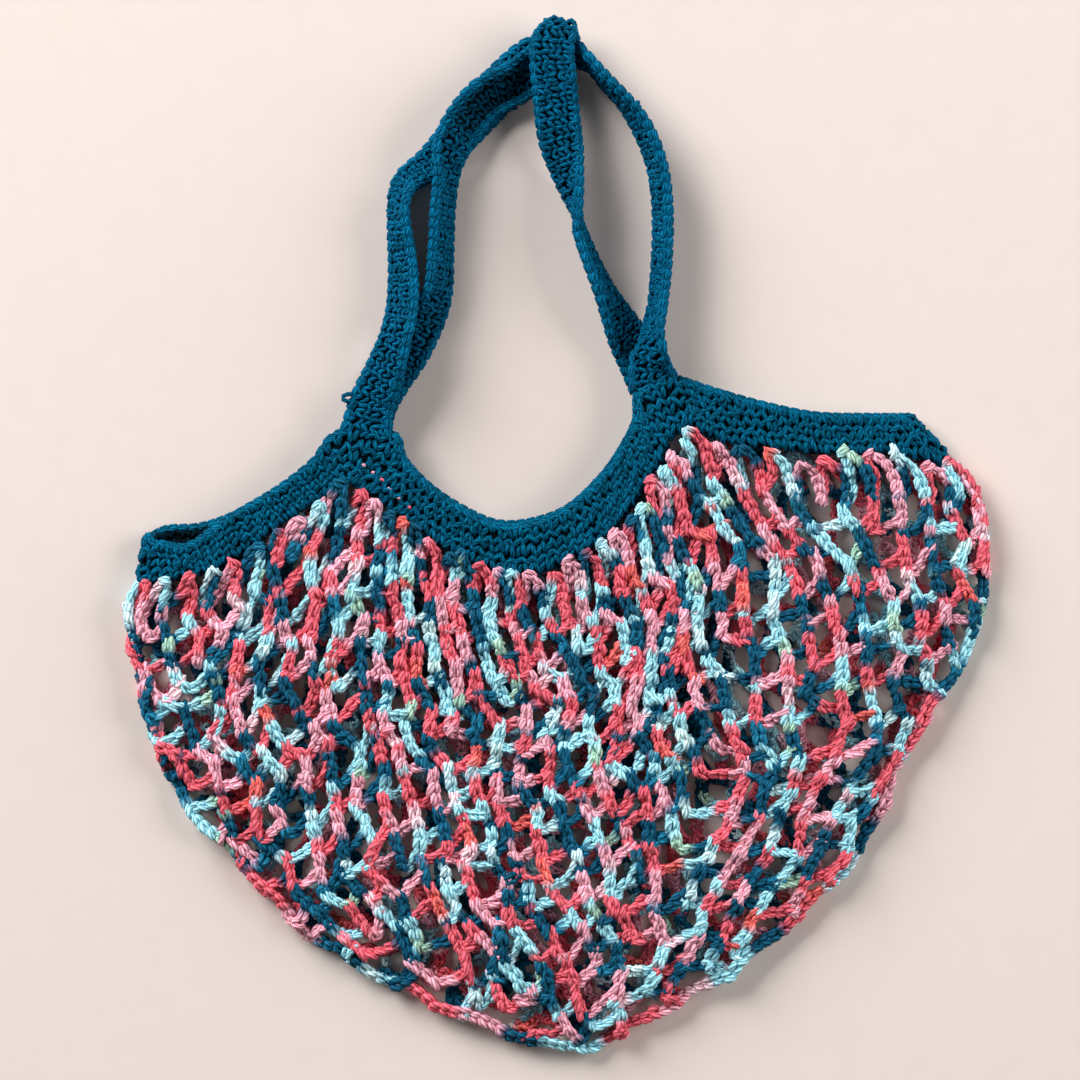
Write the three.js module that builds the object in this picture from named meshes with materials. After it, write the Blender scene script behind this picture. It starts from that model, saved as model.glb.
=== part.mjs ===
// Mesh market bag, lying flat on its back with the handles laid out above the mouth.
// Millimetres. +Z is up, +Y runs from the tip of the pouch to the handles, +X to the right.
import * as THREE from 'three';

// sheet thicknesses
const NET_WALL = 4.2;
const BAND_WALL = 4.8;
const STRAP_WALL = 4.8;
const STRAP_ROUND = 1.6;

// free height between the front and the back of the bag
const BELLY = 10;
const FOLD_GAP = 3;
const BELLY_REACH = 58;

// the half-round folds at both sides, which join front and back
const FOLD_ROUND = 5.5;
const FOLD_STEPS = 4;
const EDGE_STEPS = 16;

// the net: half cells along the mouth and half rows down to the tip, cut at under twice the real pitch
const NET_COLUMNS = 24;
const NET_ROWS = 12;
const NET_BAR = 8;
const HOLE_LEAST = 3;
const HOLE_CORNER = 0.24;
const TOP_FADE = 1.2;

// the clear width between two pieces that meet
const SEAM = 0.3;

// sections between two rows of a handle's table
const STRAP_STEPS = 3;

// the band's sections on both sides of each peak, where a handle starts, and the strap's width there
const PEAK_LEFT = [7, 8];
const PEAK_RIGHT = [18, 19];
const BASE_WIDTH = 24;

const table = (names, rows) => rows.map((row) => Object.fromEntries(names.map((name, k) => [name, row[k]])));

// outline of the pouch from the left end of the band, down round the tip and up to its right end
const FOLD = table(['x', 'y'], [
  [-233, -25],
  [-238, -43],
  [-236, -66],
  [-226, -106],
  [-211, -143],
  [-184, -175],
  [-151, -211],
  [-114, -237],
  [-71, -261],
  [-27, -276],
  [17, -285],
  [57, -265],
  [93, -243],
  [131, -215],
  [163, -180],
  [185, -138],
  [211, -91],
  [232, -51],
  [238, -12],
  [232, 23],
  [217, 42],
]);
const FOLD_LEFT = 6;
const FOLD_RIGHT = 14;

// one section across the band a row, from left to right: its edge on the net and its free edge
const BAND = table(['lowX', 'lowY', 'topX', 'topY'], [
  [-233, -25, -229, -1],
  [-214, -25, -216, 5],
  [-195, -21, -199, 6],
  [-175, -10, -183, 11],
  [-157, 3, -167, 19],
  [-140, 15, -151, 29],
  [-126, 23, -135, 42],
  [-117, 29, -122, 57],
  [-106, 24, -91, 57],
  [-91, 13, -85, 43],
  [-74, 1, -71, 28],
  [-55, -11, -53, 16],
  [-34, -20, -34, 8],
  [-13, -21, -15, 9],
  [8, -13, 4, 16],
  [26, -1, 21, 31],
  [39, 16, 33, 47],
  [50, 32, 42, 65],
  [59, 49, 43, 82],
  [73, 60, 60, 88],
  [90, 52, 76, 83],
  [119, 48, 106, 74],
  [151, 45, 139, 67],
  [184, 45, 170, 66],
  [217, 42, 195, 66],
]);

// path of each handle between its left and its right base: the middle of the strap,
// the heading of its width (turn, degrees from +X), its tilt out of level (lean, degrees)
// and its width, which is less where the strap is bunched
const STRAP_COLUMNS = ['x', 'y', 'z', 'turn', 'lean', 'width'];
const HANDLE_FRONT = table(STRAP_COLUMNS, [
  [-103, 72, 17.4, -12, 8, 25.5],
  [-96, 89, 18.5, -18, 28, 25.5],
  [-90, 107, 20.5, -12, 44, 25.5],
  [-86, 126, 17.8, -3, 47, 25.5],
  [-86, 148, 14, 3, 54, 25.5],
  [-88, 169, 13, 4, 64, 25.5],
  [-88, 182, 12.5, -5, 66, 25],
  [-84, 194, 9.5, -30, 48, 23],
  [-72, 204, 4.6, -45, 14, 19],
  [-57, 218, 2.6, -45, 2, 23],
  [-40, 233, 2.4, -45, 0, 25.5],
  [-23, 251, 2.4, -48, 0, 25.5],
  [-10, 259, 2.4, -72, 0, 25.5],
  [3, 261, 3, -100, -5, 21],
  [15, 257, 10.6, -126, -56, 22],
  [26, 251, 13, -136, -78, 25],
  [36, 238, 13.2, -142, -78, 25.5],
  [45, 225, 13.2, -149, -73, 25.5],
  [52, 209, 13.2, -160, -72, 25.5],
  [56, 191, 13.2, -172, -72, 25.5],
  [57, 167, 13.2, -180, -72, 25.5],
  [56, 144, 13.2, -184, -72, 25.5],
  [54, 126, 14.5, -189, -73, 25.5],
  [51, 111, 19, -189, -68, 25.5],
  [50, 100, 21, -180, -44, 25.5],
  [50, 92, 19, -166, -14, 24.5],
]);
const HANDLE_BACK = table(STRAP_COLUMNS, [
  [-102, 71, 2.4, -18, 0, 25.5],
  [-94, 86, 2.4, -30, 0, 25.5],
  [-85, 99, 3.2, -25, -6, 25.5],
  [-77, 113, 6.9, -18, -20, 25.5],
  [-67, 132, 12.2, -10, -54, 25.5],
  [-65, 154, 12.6, -4, -62, 25.5],
  [-64, 177, 12.6, -4, -64, 25.5],
  [-62, 196, 14, -3, -62, 25.5],
  [-59, 213, 16.4, -18, -36, 25.5],
  [-52, 226, 12.8, -35, -14, 25.5],
  [-40, 240, 9.2, -52, 0, 25.5],
  [-24, 251, 9, -52, 0, 25.5],
  [-12, 262, 9.6, -42, 6, 25.5],
  [-4, 274, 12, -24, 8, 24],
  [-1, 281, 17, -7, 3, 21.5],
  [-1, 274, 22.6, -8, 0, 24],
  [-3, 260, 22, -5, 0, 25.5],
  [-2, 242, 19.5, 5, 0, 25.5],
  [0, 222, 16, 8, 8, 25.5],
  [4, 202, 13.6, 10, 42, 25.5],
  [9, 181, 13.2, 13, 80, 25.5],
  [12, 166, 13.2, 15, 100, 25.5],
  [18, 150, 13.2, 17, 106, 25.5],
  [26, 132, 12.5, 20, 116, 25.5],
  [36, 112, 8.3, 25, 147, 25.5],
  [44, 98, 4.4, 24, 171, 25.5],
]);

const COLOURS = { net: 0xcf7f86, teal: 0x0f5d7a };

const vec = (x, y) => new THREE.Vector2(x, y);
const rad = THREE.MathUtils.degToRad;

// one closed body from loose triangles, with equal corners shared
class Body {
  constructor() {
    this.ids = new Map();
    this.points = [];
    this.faces = [];
  }

  id(p) {
    const key = [p.x, p.y, p.z].map((value) => Math.round(value * 1e4)).join(' ');
    if (!this.ids.has(key)) {
      this.ids.set(key, this.points.length / 3);
      this.points.push(p.x, p.y, p.z);
    }
    return this.ids.get(key);
  }

  tri(a, b, c) {
    this.faces.push(this.id(a), this.id(b), this.id(c));
  }

  quad(a, b, c, d) {
    this.tri(a, b, c);
    this.tri(a, c, d);
  }

  mesh(name, colour) {
    const geometry = new THREE.BufferGeometry();
    geometry.setAttribute('position', new THREE.Float32BufferAttribute(this.points, 3));
    geometry.setIndex(this.faces);
    geometry.computeVertexNormals();
    const material = new THREE.MeshStandardMaterial({ color: colour, roughness: 0.95 });
    const mesh = new THREE.Mesh(geometry, material);
    mesh.name = name;
    return mesh;
  }
}

// a smooth value between table rows
function spline(values, at) {
  const last = values.length - 1;
  const k = Math.min(Math.floor(at), last - 1);
  const f = at - k;
  const [a, b, c, d] = [-1, 0, 1, 2].map((o) => values[Math.min(Math.max(k + o, 0), last)]);
  return b + 0.5 * f * (c - a + f * (2 * a - 5 * b + 4 * c - d + f * (3 * (b - c) + d - a)));
}

const along = (points, at) => vec(spline(points.map((p) => p.x), at), spline(points.map((p) => p.y), at));

// evenly spaced points on a smooth line between two of its rows
function evenly(points, from, to, count) {
  const fine = Array.from({ length: 401 }, (_, k) => along(points, from + ((to - from) * k) / 400));
  const run = [0];
  for (let k = 1; k < fine.length; k += 1) run.push(run[k - 1] + fine[k].distanceTo(fine[k - 1]));
  return Array.from({ length: count + 1 }, (_, k) => {
    const goal = (run[400] * k) / count;
    let n = 1;
    while (n < 400 && run[n] < goal) n += 1;
    return fine[n - 1].clone().lerp(fine[n], (goal - run[n - 1]) / (run[n] - run[n - 1]));
  });
}

// the edge line of the flat part of the bag: the outline, moved in by the round of the fold
const ends = [BAND[0], BAND[BAND.length - 1]].map((row) => vec(row.topX, row.topY));
const outline = [ends[0], ...FOLD.map((row) => vec(row.x, row.y)), ends[1]];
const [topLeft, topRight] = [BAND[1], BAND[BAND.length - 2]].map((row) => vec(row.topX, row.topY));
const outward = outline.map((_, k) => {
  if (k === 0) return ends[0].clone().sub(topLeft).normalize();
  if (k === outline.length - 1) return ends[1].clone().sub(topRight).normalize();
  const step = outline[k + 1].clone().sub(outline[k - 1]);
  return vec(step.y, -step.x).normalize();
});
const edge = outline.map((p, k) => p.clone().addScaledVector(outward[k], -FOLD_ROUND));
const fineEdge = Array.from({ length: (edge.length - 1) * EDGE_STEPS + 1 }, (_, k) => ({
  p: along(edge, k / EDGE_STEPS),
  out: along(outward, k / EDGE_STEPS).normalize(),
}));

function nearest(p) {
  return fineEdge.reduce((best, spot) => (spot.p.distanceTo(p) < best.p.distanceTo(p) ? spot : best));
}

// the way out of the bag across the fold next to a point
const foldNormal = (p) => nearest(p).out;

// free height inside the bag over a point
function freeHeight(p) {
  const f = Math.min(nearest(p).p.distanceTo(p) / BELLY_REACH, 1);
  return FOLD_GAP + (BELLY - FOLD_GAP) * f * (2 - f);
}

// half of the section through a fold, from the sheet round the outside and back to the sheet
function foldSection(level, out, back) {
  const [low, lowTop, highUnder, high] = level;
  const half = high.z / 2;
  const seam = half + (back ? -SEAM : SEAM) / 2;
  const inside = new THREE.Vector3(low.x, low.y, seam);
  const round = [];
  for (let n = 1; n < FOLD_STEPS; n += 1) {
    const angle = (Math.PI * n) / FOLD_STEPS;
    const reach = FOLD_ROUND * Math.sin(angle);
    const z = n === FOLD_STEPS / 2 ? seam : half + half * Math.cos(angle);
    round.push(new THREE.Vector3(low.x + out.x * reach, low.y + out.y * reach, z));
  }
  const middle = FOLD_STEPS / 2;
  if (back) return [lowTop, inside, ...round.slice(middle - 1), low];
  return [high, ...round.slice(0, middle), inside, highUnder];
}

// a sheet that is folded at its sides, as a front and a back body, which meet half way up the folds:
// spots in plan, faces anticlockwise from above, and rims, the lines of spots along each fold, with the
// sheet on their left
function folded(names, colour, wall, spots, faces, rims) {
  const levels = spots.map((p) => {
    const inner = BAND_WALL + freeHeight(p);
    return [0, wall, inner, inner + wall].map((z) => new THREE.Vector3(p.x, p.y, z));
  });
  const used = new Map();
  for (const face of faces) {
    face.forEach((k, n) => used.set(`${k} ${face[(n + 1) % 3]}`, [k, face[(n + 1) % 3]]));
  }
  const onFold = new Set();
  for (const rim of rims) {
    for (let k = 0; k + 1 < rim.length; k += 1) onFold.add(`${rim[k]} ${rim[k + 1]}`);
  }
  return names.map((name, back) => {
    const body = new Body();
    const [under, over] = back ? [0, 1] : [2, 3];
    for (const face of faces) {
      const [a, b, c] = face.map((k) => levels[k]);
      body.tri(a[over], b[over], c[over]);
      body.tri(c[under], b[under], a[under]);
    }
    for (const [key, [m, n]] of used) {
      if (used.has(`${n} ${m}`) || onFold.has(key)) continue;
      body.quad(levels[m][under], levels[n][under], levels[n][over], levels[m][over]);
    }
    for (const rim of rims) {
      const sections = rim.map((k) => foldSection(levels[k], foldNormal(spots[k]), back));
      for (let k = 0; k + 1 < rim.length; k += 1) {
        const [a, b] = [sections[k], sections[k + 1]];
        for (let n = 0; n + 1 < a.length; n += 1) body.quad(a[n + 1], b[n + 1], b[n], a[n]);
      }
      [0, rim.length - 1].forEach((k, side) => {
        const end = side === 0 ? [...sections[k]].reverse() : sections[k];
        const middle = FOLD_STEPS / 2;
        const fan = [...end.slice(middle), ...end.slice(0, middle)];
        for (let n = 1; n + 1 < fan.length; n += 1) body.tri(fan[0], fan[n], fan[n + 1]);
      });
    }
    return body.mesh(name, colour);
  });
}

// the edges of the band, with its ends moved in to where the folds start
const bandLow = BAND.map((row) => vec(row.lowX, row.lowY));
const bandTop = BAND.map((row) => vec(row.topX, row.topY));
bandTop[0] = edge[0];
bandLow[0] = edge[1];
bandTop[BAND.length - 1] = edge[edge.length - 1];
bandLow[BAND.length - 1] = edge[edge.length - 2];

function bandRing() {
  const rows = 2;
  const spots = [];
  const at = (i, j) => i * (rows + 1) + j;
  bandTop.forEach((top, i) => {
    for (let j = 0; j <= rows; j += 1) spots.push(top.clone().lerp(bandLow[i], j / rows));
  });
  const faces = [];
  for (let i = 0; i + 1 < BAND.length; i += 1) {
    for (let j = 0; j < rows; j += 1) {
      faces.push([at(i, j), at(i, j + 1), at(i + 1, j + 1)]);
      faces.push([at(i, j), at(i + 1, j + 1), at(i + 1, j)]);
    }
  }
  const count = [...Array(rows + 1).keys()];
  const last = BAND.length - 1;
  const rims = [count.map((j) => at(0, j)), count.map((j) => at(last, rows - j))];
  return folded(['band_front', 'band_back'], COLOURS.teal, BAND_WALL, spots, faces, rims);
}

// plan of the net between its four edges: the band, both folds and the line under the tip
function netPlan() {
  const mouth = bandLow.map((p, i) => {
    const out = foldNormal(p);
    if (i === 0) return p.clone().addScaledVector(vec(-out.y, out.x), 2 * SEAM);
    if (i === NET_COLUMNS) return p.clone().addScaledVector(vec(out.y, -out.x), 2 * SEAM);
    const before = p.clone().sub(bandLow[i - 1]).normalize();
    const after = bandLow[i + 1].clone().sub(p).normalize();
    const way = before.clone().add(after).normalize();
    return p.clone().addScaledVector(vec(way.y, -way.x), SEAM / way.dot(after));
  });
  const [n, m] = [NET_COLUMNS, NET_ROWS];
  const line = [mouth[0], ...edge.slice(2, -2), mouth[n]];
  const left = evenly(line, 0, FOLD_LEFT, m);
  const under = evenly(line, FOLD_LEFT, FOLD_RIGHT, n);
  const right = evenly(line, FOLD_RIGHT, line.length - 1, m).reverse();
  return (i, j) => {
    const [s, t] = [i / n, j / m];
    const b = (1 - t) ** TOP_FADE;
    const mix = (k) => mouth[k].clone().multiplyScalar(b).addScaledVector(under[k], 1 - b);
    const p = mix(i);
    p.addScaledVector(left[j].clone().sub(mix(0)), 1 - s);
    return p.addScaledVector(right[j].clone().sub(mix(n)), s);
  };
}

// triangles between a cell's border and the hole in it, both anticlockwise
function ring(spots, outer, inner) {
  const faces = [];
  const gap = (a, b) => spots[a].distanceTo(spots[b]);
  let first = 0;
  inner.forEach((k, n) => {
    if (gap(outer[0], k) < gap(outer[0], inner[first])) first = n;
  });
  const hole = inner.map((_, n) => inner[(first + n) % inner.length]);
  let [i, j] = [0, 0];
  while (i < outer.length || j < hole.length) {
    const [a, b] = [outer[i % outer.length], hole[j % hole.length]];
    const [nextA, nextB] = [outer[(i + 1) % outer.length], hole[(j + 1) % hole.length]];
    const byOuter = j === hole.length || (i < outer.length && gap(nextA, b) <= gap(a, nextB));
    if (byOuter) {
      faces.push([a, nextA, b]);
      i += 1;
    } else {
      faces.push([a, nextB, b]);
      j += 1;
    }
  }
  return faces;
}

function meshBody() {
  const plan = netPlan();
  const [n, m] = [NET_COLUMNS, NET_ROWS];
  const spots = [];
  const at = (i, j) => j * (n + 1) + i;
  for (let j = 0; j <= m; j += 1) {
    for (let i = 0; i <= n; i += 1) spots.push(plan(i, j));
  }
  const faces = [];
  let holes = 0;
  for (let j = 0; j <= m; j += 1) {
    for (let i = (j + 1) % 2; i <= n; i += 2) {
      const outer = [
        at(Math.max(i - 1, 0), j),
        at(i, Math.min(j + 1, m)),
        at(Math.min(i + 1, n), j),
        at(i, Math.max(j - 1, 0)),
      ];
      const real = outer.filter((k) => k !== at(i, j));
      const middle = real.reduce((sum, k) => sum.add(spots[k]), vec(0, 0)).divideScalar(real.length);
      const sides = outer.map((k, q) => {
        const [a, b] = [spots[k], spots[outer[(q + 1) % 4]]];
        const run = b.clone().sub(a);
        const clear = Math.abs(run.cross(middle.clone().sub(a))) / run.length();
        return { a, b, clear };
      });
      const least = Math.min(...sides.map((side) => side.clear));
      const uncut = j === m || least < NET_BAR / 2 + HOLE_LEAST;
      if (uncut) {
        const start = Math.max(outer.indexOf(at(i, j)), 0);
        const [a, b, c, d] = [0, 1, 2, 3].map((q) => outer[(start + q) % 4]);
        faces.push([a, b, c], [a, c, d]);
        continue;
      }
      const inner = [];
      for (const { a, b, clear } of sides) {
        for (const f of [HOLE_CORNER, 1 - HOLE_CORNER]) {
          inner.push(spots.length);
          spots.push(a.clone().lerp(b, f).lerp(middle, NET_BAR / 2 / clear));
        }
      }
      holes += 1;
      faces.push(...ring(spots, outer, inner));
    }
  }
  const rim = [];
  for (let j = 0; j < m; j += 1) rim.push(at(0, j));
  for (let i = 0; i < n; i += 1) rim.push(at(i, m));
  for (let j = m; j >= 0; j -= 1) rim.push(at(n, j));
  const meshes = folded(['mesh_front', 'mesh_back'], COLOURS.net, NET_WALL, spots, faces, [rim]);
  meshes.forEach((mesh) => { mesh.userData.holes = holes; });
  return meshes;
}

// the row at a handle's base: square to a peak of the band, a seam's width off it
function base(peak, level, turned, lean) {
  const [a, b] = peak.map((k) => bandTop[k]);
  const run = b.clone().sub(a);
  const middle = a.clone().lerp(b, 0.5);
  const z = BAND_WALL / 2 + (level === 'front' ? BAND_WALL + freeHeight(middle) : 0);
  const p = middle.addScaledVector(vec(-run.y, run.x).normalize(), SEAM);
  const turn = THREE.MathUtils.radToDeg(Math.atan2(run.y, run.x)) + turned;
  return { x: p.x, y: p.y, z, turn, lean, width: BASE_WIDTH };
}

// a strap with rounded edges, swept along a handle's table; no section reaches under the floor
function strap(name, rows) {
  const body = new Body();
  const count = (rows.length - 1) * STRAP_STEPS;
  const value = (column, at) => spline(rows.map((row) => row[column]), at);
  const place = (at) => new THREE.Vector3(value('x', at), value('y', at), value('z', at));
  const [b, c] = [STRAP_WALL / 2, STRAP_ROUND];
  const right = [[1, -c, -b], [1, 0, c - b], [1, 0, b - c], [1, -c, b]];
  const left = [[-1, c, b], [-1, 0, b - c], [-1, 0, c - b], [-1, c, -b]];
  const corners = [...right, ...left];
  const sections = [];
  for (let k = 0; k <= count; k += 1) {
    const at = k / STRAP_STEPS;
    const middle = place(at);
    const before = place(Math.max(at - 0.02, 0));
    const after = place(Math.min(at + 0.02, rows.length - 1));
    const way = after.sub(before).normalize();
    const [turn, lean] = [rad(value('turn', at)), rad(value('lean', at))];
    const wide = new THREE.Vector3(
      Math.cos(turn) * Math.cos(lean),
      Math.sin(turn) * Math.cos(lean),
      Math.sin(lean),
    );
    if (k === 0 || k === count) way.set(-wide.y, wide.x, 0).normalize();
    wide.addScaledVector(way, -wide.dot(way)).normalize();
    const face = new THREE.Vector3().crossVectors(wide, way);
    const half = value('width', at) / 2;
    const section = corners.map(([side, inset, height]) => {
      const p = middle.clone().addScaledVector(wide, side * half + inset);
      return p.addScaledVector(face, height);
    });
    const lift = Math.max(0, ...section.map((p) => -p.z));
    section.forEach((p) => p.setZ(p.z + lift));
    sections.push(section);
  }
  const size = corners.length;
  for (let k = 0; k < count; k += 1) {
    for (let q = 0; q < size; q += 1) {
      const r = (q + 1) % size;
      body.quad(sections[k][q], sections[k + 1][q], sections[k + 1][r], sections[k][r]);
    }
  }
  for (let q = 1; q + 1 < size; q += 1) {
    body.tri(sections[0][0], sections[0][q], sections[0][q + 1]);
    body.tri(sections[count][0], sections[count][q + 1], sections[count][q]);
  }
  return body.mesh(name, COLOURS.teal);
}

const bag = new THREE.Group();
bag.name = 'mesh_market_bag';
bag.add(...meshBody(), ...bandRing());
bag.add(strap('handle_front', [
  base(PEAK_LEFT, 'front', 0, 0),
  ...HANDLE_FRONT,
  base(PEAK_RIGHT, 'front', -180, 0),
]));
bag.add(strap('handle_back', [
  base(PEAK_LEFT, 'back', 0, 0),
  ...HANDLE_BACK,
  base(PEAK_RIGHT, 'back', 0, 180),
]));

// the origin is under the middle of the bag
const box = new THREE.Box3().setFromObject(bag);
const centre = box.getCenter(new THREE.Vector3());
bag.children.forEach((mesh) => mesh.geometry.translate(-centre.x, -centre.y, -box.min.z));

export default bag;
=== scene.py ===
# %% [markdown]
# # A crocheted mesh market bag
#
# The real bag is three kinds of crochet in cotton yarn: a pouch of chain loops in a yarn dyed in
# several colours, a close single crochet band round its mouth, and two single crochet handles.
# It lies flat on its back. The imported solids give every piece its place, and this lesson dresses
# them with yarn: each stitch is a small tube, and thousands of tubes make the cloth.

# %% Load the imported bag
import math

import bpy
import numpy as np
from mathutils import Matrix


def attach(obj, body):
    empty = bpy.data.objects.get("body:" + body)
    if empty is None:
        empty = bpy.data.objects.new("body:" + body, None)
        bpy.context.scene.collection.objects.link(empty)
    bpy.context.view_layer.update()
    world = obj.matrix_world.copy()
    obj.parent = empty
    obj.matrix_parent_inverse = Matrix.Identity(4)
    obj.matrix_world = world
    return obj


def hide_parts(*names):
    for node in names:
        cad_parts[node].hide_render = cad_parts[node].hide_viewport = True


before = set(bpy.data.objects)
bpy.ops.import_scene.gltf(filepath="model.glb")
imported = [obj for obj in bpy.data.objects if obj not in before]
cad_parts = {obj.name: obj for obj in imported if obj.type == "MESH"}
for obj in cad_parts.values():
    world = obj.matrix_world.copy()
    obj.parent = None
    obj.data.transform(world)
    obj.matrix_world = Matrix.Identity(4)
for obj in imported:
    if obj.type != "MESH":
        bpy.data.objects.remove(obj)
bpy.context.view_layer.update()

bpy.ops.object.select_all(action="DESELECT")
MM = 0.001
rng = np.random.default_rng(11)
print("solids:", sorted(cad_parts))

# %% [markdown]
# ## The lines that the bag is laid out on
#
# A maker would pin the bag out and note a few points: the outline of the pouch, sections across
# the band, and the middle line of each handle with the turn and lean of its width. They are the
# whole millimetres that shape the solids, so the yarn lies where the solids are. Only near the top
# fold do the handles keep closer to the real ones, a few millimetres off their solids.

# %% Outline of the pouch and sections of the band
FOLD = MM * np.array([
    (-233, -25), (-238, -43), (-236, -66), (-226, -106), (-211, -143), (-184, -175), (-151, -211),
    (-114, -237), (-71, -261), (-27, -276), (17, -285), (57, -265), (93, -243), (131, -215),
    (163, -180), (185, -138), (211, -91), (232, -51), (238, -12), (232, 23), (217, 42),
])
BAND_LOW = MM * np.array([
    (-233, -25), (-214, -25), (-195, -21), (-175, -10), (-157, 3), (-140, 15), (-126, 23),
    (-117, 29), (-106, 24), (-91, 13), (-74, 1), (-55, -11), (-34, -20), (-13, -21), (8, -13),
    (26, -1), (39, 16), (50, 32), (59, 49), (73, 60), (90, 52), (119, 48), (151, 45), (184, 45),
    (217, 42),
])
BAND_TOP = MM * np.array([
    (-229, -1), (-216, 5), (-199, 6), (-183, 11), (-167, 19), (-151, 29), (-135, 42), (-122, 57),
    (-91, 57), (-85, 43), (-71, 28), (-53, 16), (-34, 8), (-15, 9), (4, 16), (21, 31), (33, 47),
    (42, 65), (43, 82), (60, 88), (76, 83), (106, 74), (139, 67), (170, 66), (195, 66),
])
TIP = 10  # the point of FOLD at the tip
PEAK_LEFT, PEAK_RIGHT = (7, 8), (18, 19)  # the sections that carry a handle
print("outline points:", len(FOLD), " band sections:", len(BAND_LOW))

# %% Middle lines of the handles: x, y, z, turn, lean, width
HANDLE_FRONT = np.array([
    (-103, 72, 17.4, -12, 8, 25.5), (-96, 89, 18.5, -18, 28, 25.5), (-90, 107, 20.5, -12, 44, 25.5),
    (-86, 126, 17.8, -3, 47, 25.5), (-86, 148, 14, 3, 54, 25.5), (-88, 169, 13, 4, 64, 25.5),
    (-88, 182, 12.5, -5, 66, 25), (-84, 194, 9.5, -30, 48, 23), (-72, 204, 4.6, -45, 14, 19),
    (-57, 219, 2.6, -45, 2, 23), (-41, 237, 2.4, -45, 0, 25.5), (-25, 254, 2.4, -48, 0, 25.5),
    (-11, 264, 2.4, -66, 0, 25.5), (4, 267, 5, -104, -32, 21), (15, 261, 11.5, -124, -78, 22),
    (25, 250, 13, -134, -82, 25), (36, 238, 13.2, -142, -80, 25.5), (45, 225, 13.2, -149, -73, 25.5),
    (52, 209, 13.2, -160, -72, 25.5), (56, 191, 13.2, -172, -72, 25.5),
    (57, 167, 13.2, -180, -72, 25.5), (56, 144, 13.2, -184, -72, 25.5),
    (54, 126, 14.5, -189, -73, 25.5), (51, 111, 19, -189, -68, 25.5), (50, 100, 21, -180, -44, 25.5),
    (50, 92, 19, -166, -14, 24.5),
])
HANDLE_BACK = np.array([
    (-102, 71, 2.4, -18, 0, 25.5), (-94, 86, 2.4, -30, 0, 25.5), (-85, 99, 3.2, -25, -6, 25.5),
    (-77, 113, 6.9, -18, -20, 25.5), (-67, 132, 12.2, -10, -54, 25.5),
    (-65, 154, 12.6, -4, -62, 25.5), (-64, 177, 12.6, -4, -64, 25.5), (-62, 196, 14, -3, -62, 25.5),
    (-59, 213, 16.4, -18, -36, 25.5), (-52, 226, 13.6, -35, -24, 25.5), (-40, 240, 12.2, -52, -22, 25.5),
    (-23, 249, 12, -50, -16, 25.5), (-11, 259, 10.4, -42, 2, 25.5), (-4, 274, 12, -24, 8, 24),
    (-1, 281, 17, -7, 3, 21.5), (-1, 274, 22.6, -8, 0, 24), (-3, 260, 22, -5, 0, 25.5),
    (-2, 242, 19.5, 5, 0, 25.5), (0, 222, 16, 8, 8, 25.5), (4, 202, 13.6, 10, 42, 25.5),
    (9, 181, 13.2, 13, 80, 25.5), (12, 166, 13.2, 15, 100, 25.5), (18, 150, 13.2, 17, 106, 25.5),
    (26, 132, 12.5, 20, 116, 25.5), (36, 112, 8.3, 25, 147, 25.5), (44, 98, 4.4, 24, 171, 25.5),
])
print("handle rows:", len(HANDLE_FRONT), len(HANDLE_BACK))

# %% [markdown]
# ## Smooth lines through the points
#
# Blender's curve objects could carry these lines, but the stitches need to ask for any spot on
# them, thousands at a time. A short spline function on arrays does that, and a second one walks a
# line by its length, so that stitches come out evenly spaced.

# %% Smooth lines
def spline(values, at):
    """A smooth line through rows of values, at places counted in rows."""
    values = np.asarray(values, float)
    at = np.asarray(at, float)
    last = len(values) - 1
    k = np.minimum(np.floor(at).astype(int), last - 1)
    f = (at - k).reshape(at.shape + (1,) * (values.ndim - 1))
    a, b, c, d = (values[np.clip(k + step, 0, last)] for step in (-1, 0, 1, 2))
    return b + 0.5 * f * (c - a + f * (2 * a - 5 * b + 4 * c - d + f * (3 * (b - c) + d - a)))


def unit(v):
    return v / np.maximum(np.linalg.norm(v, axis=-1, keepdims=True), 1e-12)


def run_of(points):
    """How far along its line each point is."""
    steps = np.linalg.norm(np.diff(points, axis=0), axis=1)
    return np.concatenate([[0.0], np.cumsum(steps)])


def at_run(points, run, goal):
    """The places on a line that are as far along it as the goal says."""
    return np.stack([np.interp(goal, run, points[:, k]) for k in range(points.shape[1])], axis=-1)


print("fold, half way to its second point (mm):", np.round(spline(FOLD, 0.5) / MM, 1).tolist())

# %% The edge of the flat part, inside the round of the fold
FOLD_ROUND = 5.5 * MM
NET_WALL, BAND_WALL = 4.2 * MM, 4.8 * MM
BELLY, FOLD_GAP, BELLY_REACH = 10 * MM, 3 * MM, 58 * MM
EDGE_STEPS = 16

outline = np.concatenate([BAND_TOP[:1], FOLD, BAND_TOP[-1:]])
step = outline[2:] - outline[:-2]
outward = unit(np.stack([step[:, 1], -step[:, 0]], axis=1))
end_out = unit(BAND_TOP[[0, -1]] - BAND_TOP[[1, -2]])
outward = np.concatenate([end_out[:1], outward, end_out[1:]])
edge = outline - FOLD_ROUND * outward
fine_at = np.arange((len(edge) - 1) * EDGE_STEPS + 1) / EDGE_STEPS
fine_edge = spline(edge, fine_at)
fine_out = unit(spline(outward, fine_at))

band_low, band_top = BAND_LOW.copy(), BAND_TOP.copy()
band_top[[0, -1]], band_low[[0, -1]] = edge[[0, -1]], edge[[1, -2]]


def to_fold(plan):
    """How far each spot is from the nearest fold, and the way out across that fold."""
    square = ((plan[:, None] - fine_edge[None]) ** 2).sum(axis=2)
    return np.sqrt(square.min(axis=1)), fine_out[square.argmin(axis=1)]


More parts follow.
